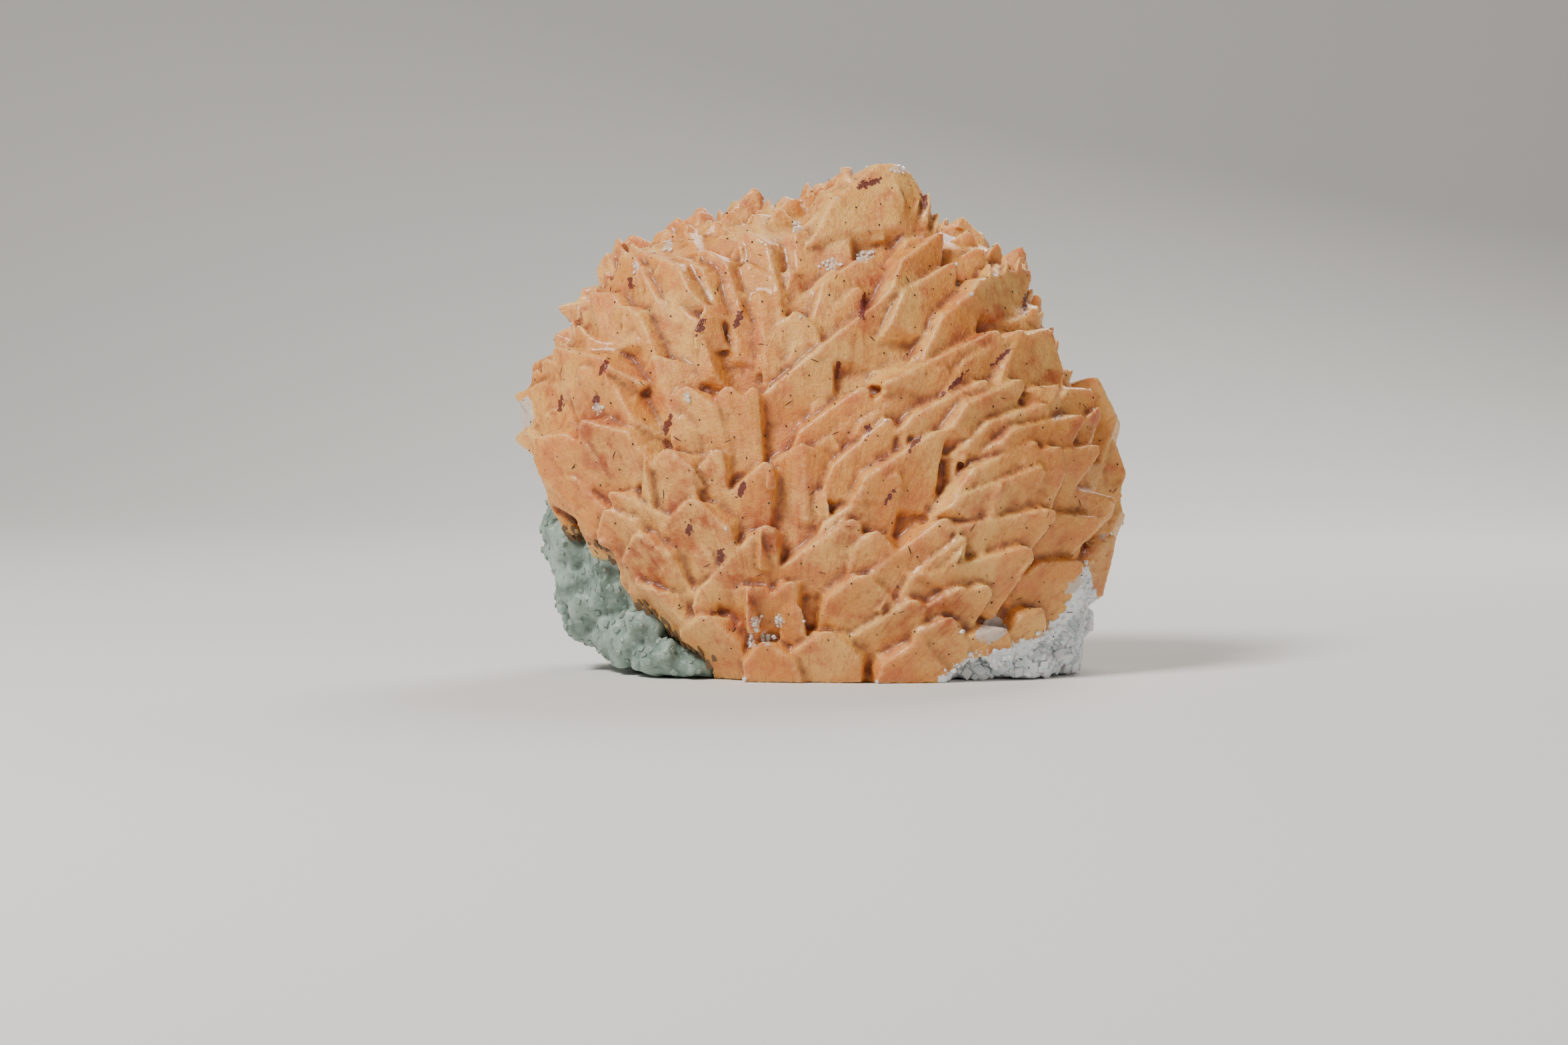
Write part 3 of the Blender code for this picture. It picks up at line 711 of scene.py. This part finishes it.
def along_growth(tree, place):
    """Gives coordinates that are stretched along the crystals' growth, for streaks."""
    apart = add_node(tree, "ShaderNodeSeparateXYZ", ((0, place),))
    x = arithmetic(tree, "SUBTRACT", apart.outputs[0], FAN[0] * MM)
    z = arithmetic(tree, "SUBTRACT", apart.outputs[2], FAN[1] * MM)
    squares = arithmetic(
        tree, "ADD", arithmetic(tree, "MULTIPLY", x, x), arithmetic(tree, "MULTIPLY", z, z),
    )
    across = arithmetic(tree, "MULTIPLY", arithmetic(tree, "ARCTAN2", x, z), STREAK_ACROSS)
    along = arithmetic(tree, "MULTIPLY", arithmetic(tree, "SQRT", squares), STREAK_ALONG)
    return vector(tree, across, apart.outputs[1], along)


def torn(tree, place, name, size):
    """Reads a mark's strength and gives it a torn, irregular edge."""
    strength = attribute(tree, name)
    wave = arithmetic(tree, "SUBTRACT", noise(tree, place, size, 4.0), 0.5)
    uneven = arithmetic(tree, "ADD", strength, arithmetic(tree, "MULTIPLY", wave, 2.4))
    marked_here = arithmetic(tree, "GREATER_THAN", strength, 0.02)
    return ramp_between(tree, arithmetic(tree, "MULTIPLY", uneven, marked_here), 0.48, 0.62)


def calcite_color(tree, place, middle, fine, streak):
    """Gives peach-pink, stained orange on tips, with orange painted shade in hollows, brown painted shade in
    creases (partly iron stain), painted highlights on edges, and rust, frost and crust.
    """
    broad = noise(tree, place, 15, 2.0)
    on_tips = noise(tree, place, 2.6, 5.0)
    pink = mix_colors(tree, ramp_between(tree, broad, 0.36, 0.62), PEACH, PALE_PEACH)
    pink = cover(tree, pink, PINK, 0.8, ramp_between(tree, middle, 0.45, 0.72))
    pink = cover(tree, pink, ORANGE, 0.24, ramp_between(tree, fine, 0.50, 0.68))
    streaks = arithmetic(tree, "MULTIPLY", ramp_between(tree, streak, 0.52, 0.70), 0.42)
    blotches = arithmetic(tree, "MULTIPLY", attribute(tree, "orange"), ramp_between(tree, middle, 0.3, 0.7))
    pink = mix_colors(tree, arithmetic(tree, "ADD", streaks, blotches, clamp=True), pink, ORANGE)
    # Painted shade: orange laid into the hollows
    pink = cover(tree, pink, ORANGE, 0.85, attribute(tree, "hollow_shade"), ramp_between(tree, middle, 0.05, 0.5))
    # Painted shade, partly iron stain: brown laid into the creases
    pink = cover(tree, pink, BROWN, 0.85, attribute(tree, "crease_stain_and_shade"), ramp_between(tree, middle, 0.2, 0.5))
    pink = cover(tree, pink, ORANGE, 0.85, attribute(tree, "tip"), ramp_between(tree, on_tips, 0.36, 0.58))
    # Painted highlight: pale rims along the convex edges
    pink = cover(tree, pink, RIM_HIGHLIGHT, 0.6, attribute(tree, "edge"))
    pink = cover(tree, pink, RUST, 0.95, torn(tree, place, "rust", 0.8))
    pink = cover(tree, pink, CLEAR, 0.8, torn(tree, place, "clear", 2.0))
    pink = cover(tree, pink, WHITE, 0.4, torn(tree, place, "frost", 0.5))
    return mix_colors(tree, torn(tree, place, "crust", 1.2), pink, CRUST_WHITE)


def calcite_material():
    """Peach-pink and translucent, with a fine grain that glitters."""
    material, tree, shader, place = new_material("pink_calcite", CALCITE_SURFACE)
    middle = noise(tree, place, 4.0, 4.0)
    fine = noise(tree, place, 0.7, 4.0)
    glitter = noise(tree, place, 0.32, 2.0)
    streak = noise(tree, along_growth(tree, place), 1.3, 3.0)
    tree.links.new(calcite_color(tree, place, middle, fine, streak), shader.inputs["Base Color"])
    dullness = arithmetic(tree, "ADD", 0.38, arithmetic(tree, "MULTIPLY", middle, 0.40))
    sparkle = arithmetic(tree, "MULTIPLY", ramp_between(tree, glitter, 0.56, 0.64), 0.4)
    tree.links.new(arithmetic(tree, "SUBTRACT", dullness, sparkle), shader.inputs["Roughness"])
    grain = arithmetic(tree, "ADD", fine, arithmetic(tree, "MULTIPLY", streak, 0.6))
    grain = arithmetic(tree, "ADD", grain, arithmetic(tree, "MULTIPLY", glitter, 0.5))
    bump(tree, shader, grain, *CALCITE_BUMP)
    return material


def rock_material():
    """Pale grey-green and sugary, with painted shade in its hollows and a white crust at the lower right."""
    material, tree, shader, place = new_material("host_rock", ROCK_SURFACE)
    middle = noise(tree, place, 5, 4.0)
    fine = noise(tree, place, 0.8, 4.0)
    grey = mix_colors(tree, ramp_between(tree, middle, 0.35, 0.65), ROCK_DARK, ROCK_PALE)
    # Painted shade: darker in the rock's hollows
    grey = cover(tree, grey, ROCK_HOLLOW_SHADE, 0.7, attribute(tree, "hollow_shade"))
    grey = mix_colors(tree, attribute(tree, "white"), grey, CRUST_WHITE)
    tree.links.new(grey, shader.inputs["Base Color"])
    bump(tree, shader, fine, *ROCK_BUMP)
    return material


def crumb_material(name, color, roughness, translucency):
    """A plain mineral or fibre with a little change of tone, for what is scattered."""
    material, tree, shader, place = new_material(name, {
        "Roughness": roughness,
        "Subsurface Weight": translucency,
        "Subsurface Scale": CRUMB_GLOW_DEPTH * MM,
    })
    dark = tuple(CRUMB_SHADE * channel for channel in color)
    tone = mix_colors(tree, noise(tree, place, CRUMB_BLOTCHES), (*dark, 1), (*color, 1))
    tree.links.new(tone, shader.inputs["Base Color"])
    return material


# Where marks, growths and grains lie; places are in millimetres

def growth_at(places):
    """Gives the crystals' growth direction at some places."""
    across = (places[:, 0] - FAN[0]) * FAN_LEAN
    up = places[:, 2] - FAN[1]
    reach = np.hypot(across, up)
    rear = REAR_LEAN * share_between(places[:, 1], 0, REAR_DEPTH)
    deep = FORWARD_LEAN + LEAN_BACK_A_MM * places[:, 2] + rear
    directions = np.stack((across / reach, deep, up / reach), axis=1)
    return directions / np.linalg.norm(directions, axis=1)[:, None]


def marked(places, marks):
    """Gives how strongly some places lie within marks that are seen from the front."""
    strength = np.zeros(len(places))
    for x, height, half_length, half_width, tilt in marks:
        sine = math.sin(math.radians(tilt))
        cosine = math.cos(math.radians(tilt))
        right = places[:, 0] - x
        up = places[:, 2] - height
        across = right * cosine - up * sine
        along = right * sine + up * cosine
        distance = np.hypot(across / half_width, along / half_length)
        strength = np.maximum(strength, share_between(distance, *MARK_FADE))
    return strength * (places[:, 1] < MARKS_IN_FRONT_OF)


def crust_at(places):
    """Gives how far some places lie inside the white crust at the lower right."""
    x, y, z = places.T
    below_edge = share_between(np.interp(x, *zip(*CRUST_EDGE)) - z, *CRUST_FADE)
    return below_edge * (x > CRUST_EDGE[0][0]) * share_between(y, *CRUST_BACK_FADE)


def store_growth_places(mesh, rock_node):
    """Marks where small crystals grow on the larger ones, and in which direction."""
    places = vertex_positions(mesh) / MM
    x, y, z = places.T
    normals = vertex_normals(mesh)
    growth = growth_at(places)
    open_side = (distance_to(mesh, rock_node) > GROWTH_OFF_ROCK) & (z > GROWTH_LOWEST)
    open_side &= normals[:, 2] > GROWTH_STEEPEST_UNDERSIDE
    ridge = share_between(relief(mesh, RIDGE_ROUNDS), 0, RIDGE_HEIGHT)
    share = np.clip(SHARE_ON_FLATS + ridge, 0, 1) * open_side
    right = share_between(x, *RIGHT_SIDE)
    store(mesh, "right_side", share * right)
    store(mesh, "left_side", share * (1 - right))
    flat = share_between(np.abs(relief(mesh, BARE_SIDE_ROUNDS)), BARE_SIDE_FLATNESS, 0)
    store(mesh, "bare_side", flat * open_side * ((x < BARE_SIDE_LEFT_OF) | (y > BARE_SIDE_BEHIND)))
    flat = share_between(np.abs(relief(mesh, BARE_TOP_ROUNDS)), BARE_TOP_FLATNESS, 0)
    top = (np.einsum("ij,ij->i", growth, normals) > BARE_TOP_FACING) & (z > BARE_TOP_LOWEST)
    store(mesh, "bare_top", flat * open_side * top * (y > BARE_TOP_BEHIND))
    store_direction(mesh, "growth", growth)


def store_calcite_marks(mesh, rock_node):
    """Marks stains, painted shade in hollows and creases, painted highlights on edges, rust, frost, crust,
    dust and the seam with the rock on the crystals' vertices.
    """
    off_rock = distance_to(mesh, rock_node)
    places = vertex_positions(mesh) / MM
    x, y, z = places.T
    shares = {
        name: share_between(relief(mesh, rounds), start, full)
        for name, (rounds, start, full) in RELIEF_MARKS.items()
    }
    shares["rust"] = marked(places, RUST_MARKS)
    shares["orange"] = marked(places, ORANGE_MARKS)
    shares["clear"] = marked(places, CLEAR_MARKS)
    for name, share in shares.items():
        store(mesh, name, share)
    frost = marked(places, FROST_MARKS) * (vertex_normals(mesh)[:, 1] < FROST_FACING)
    store(mesh, "frost", frost)
    store(mesh, "frosted", np.maximum(frost, FROST_ON_TIPS * shares["tip"]) * (off_rock > FROST_OFF_ROCK))
    crust = crust_at(places)
    store(mesh, "crust", crust)
    store(mesh, "crusted", crust * (z > CRUST_LOWEST))
    seam = (off_rock > SEAM_OFF_ROCK[0]) & (off_rock < SEAM_OFF_ROCK[1]) & (x < SEAM_LEFT_OF)
    seam &= (z > SEAM_HEIGHTS[0]) & (z < SEAM_HEIGHTS[1]) & (y < SEAM_IN_FRONT_OF)
    store(mesh, "seam", seam)
    store(mesh, "dusty", (off_rock > DUST_OFF_ROCK) & (z > DUST_LOWEST) & (y < DUST_IN_FRONT_OF))
    store_direction(mesh, "growth", growth_at(places))


def store_rock_marks(mesh, calcite_node):
    """Marks hollows for painted shade, the white crust and where grains lie on the rock's vertices."""
    x, y, z = vertex_positions(mesh).T / MM
    off_calcite = distance_to(mesh, calcite_node)
    white = share_between(x, *ROCK_CRUST_RIGHT) * share_between(z, *ROCK_CRUST_TOP)
    white *= share_between(y, *ROCK_CRUST_BACK)
    grainy = (off_calcite > CRUST_GRAINS_OFF_CALCITE) & (z > CRUST_GRAINS_LOWEST)
    sugary = (off_calcite > ROCK_GRAINS_OFF_CALCITE) & (z > ROCK_GRAINS_LOWEST)
    # The hollows' mark carries painted shade
    store(mesh, "hollow_shade", share_between(relief(mesh, ROCK_HOLLOW_ROUNDS), 0, ROCK_HOLLOW_DEPTH))
    store(mesh, "white", white)
    store(mesh, "grainy", white * grainy)
    store(mesh, "sugary", sugary & (white < ROCK_GRAINS_MOST_WHITE))


# The specimen

def build_calcite(rock_node, finish):
    """Makes the crystals' skin: the frame's crystals, with small parallel growths fused to them."""
    item = merged_copy("calcite_crystals", "calcite_cluster")
    remesh(item, CALCITE_VOXEL)
    store_growth_places(item.data, rock_node)
    grow = scatter_tree("parallel_growths", on_crystals=True, keep_ground=True)
    for mask, form, *sizes in GROWTHS:
        item.data = scatter(item, grow, form, finish, mask, *sizes, GROWTH_TWIST, GROWTH_SEED)
    remesh(item, CALCITE_VOXEL)
    roughen(item, "calcite_relief", rock_node, CALCITE_RELIEF, finish)
    keep_in_box(item.data)
    store_calcite_marks(item.data, rock_node)
    thin_out(item, TRIANGLE_LIMIT)
    finish_piece(item, finish)
    return item


def build_rock(calcite_node, finish):
    """Makes the host rock's skin, lumpy where it lies open."""
    item = merged_copy("matrix_rock", "host_rock")
    remesh(item, ROCK_VOXEL)
    heights = vertex_positions(item.data)[:, 2] / MM
    off_calcite = distance_to(item.data, calcite_node)
    store(item.data, "open_side", (off_calcite > LUMPS_OFF_CALCITE) & (heights > LUMPS_LOWEST))
    lumps = scatter_tree("rock_lumps", on_crystals=False, keep_ground=True)
    item.data = scatter(item, lumps, "lump", finish, *ROCK_LUMPS)
    remesh(item, ROCK_VOXEL)
    roughen(item, "rock_relief", calcite_node, ROCK_RELIEF, finish)
    keep_in_box(item.data)
    store_rock_marks(item.data, calcite_node)
    thin_out(item, TRIANGLE_LIMIT)
    finish_piece(item, finish)
    return item


def build_crumbs(grounds):
    """Scatters crystals, crumbs, dust, lint and grains over the two skins, each as a piece of its own."""
    on_crystals = scatter_tree("small_crystals", on_crystals=True, keep_ground=False)
    on_face = scatter_tree("small_grains", on_crystals=False, keep_ground=False)
    for name, (slot, form, *sizes) in CRUMBS.items():
        tree = on_crystals if form == "tooth" else on_face
        finish = crumb_material(*CRUMB_FINISHES[name])
        item = show(name, scatter(grounds[slot], tree, form, finish, *sizes))
        keep_in_box(item.data)
        finish_piece(item, finish)


def finish_piece(item, finish):
    """Gives a piece its finish and its body."""
    item.data.materials.clear()
    item.data.materials.append(finish)
    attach(item, "root")


# The studio

def build_floor():
    """Makes a pale floor that curves up behind."""
    profile = [(FLOOR_FRONT, 0.0), (FLOOR_BACK, 0.0)]
    for step in range(1, WALL_CURVE_STEPS + 1):
        angle = math.radians(90 * step / WALL_CURVE_STEPS)
        profile.append((FLOOR_BACK + WALL_CURVE * math.sin(angle), WALL_CURVE * (1 - math.cos(angle))))
    profile.append((FLOOR_BACK + WALL_CURVE, WALL_TOP))
    shell = bmesh.new()
    left, right = (
        [shell.verts.new((x, y, z)) for y, z in profile] for x in (-FLOOR_HALF_WIDTH, FLOOR_HALF_WIDTH)
    )
    for step in range(len(profile) - 1):
        shell.faces.new((left[step], right[step], right[step + 1], left[step + 1]))
    mesh = mesh_from("floor", shell)
    for face in mesh.polygons:
        face.use_smooth = True
    mesh.materials.append(new_material("floor", FLOOR_SURFACE)[0])
    floor = show("floor", mesh)


def add_lamps():
    """Adds soft square lamps that look at the specimen's middle, and a faint even sky."""
    for name, place, size, power, color in LAMPS:
        lamp = bpy.data.lights.new(name, "AREA")
        lamp.size = size
        lamp.energy = power
        lamp.color = color
        item = bpy.data.objects.new(name, lamp)
        item.location = place
        item.rotation_euler = (Vector(LAMP_TARGET) - Vector(place)).to_track_quat("-Z", "Y").to_euler()
        bpy.context.scene.collection.objects.link(item)
    world = bpy.data.worlds.new("studio")
    world.use_nodes = True
    sky = world.node_tree.nodes["Background"]
    sky.inputs["Color"].default_value = SKY_COLOR
    sky.inputs["Strength"].default_value = SKY_STRENGTH
    bpy.context.scene.world = world


def add_camera():
    """Sets the camera on the photograph's middle, as far away as its scale asks."""
    across = (PHOTO_MIDDLE[0] - ORIGIN_PIXEL[0]) / PIXELS_PER_MM * MM
    height = (ORIGIN_PIXEL[1] - PHOTO_MIDDLE[1]) / PIXELS_PER_MM * MM
    distance = PHOTO_WIDTH / PIXELS_PER_MM * MM * LENS / SENSOR
    rise = math.radians(CAMERA_RISE)
    data = bpy.data.cameras.new("camera")
    data.lens = LENS
    data.sensor_width = SENSOR
    data.clip_start = NEAREST_SEEN
    camera = bpy.data.objects.new("camera", data)
    camera.location = (across, -distance * math.cos(rise), height + distance * math.sin(rise))
    camera.rotation_euler = (math.radians(90) - rise, 0, 0)
    bpy.context.scene.collection.objects.link(camera)
    bpy.context.scene.camera = camera


calcite_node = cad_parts["calcite_crystals"]
rock_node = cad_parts["matrix_rock"]
calcite = build_calcite(rock_node, calcite_material())
rock = build_rock(calcite_node, rock_material())
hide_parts("calcite_crystals")
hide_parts("matrix_rock")
build_crumbs({"calcite": calcite, "host_rock": rock})
build_floor()
add_lamps()
add_camera()
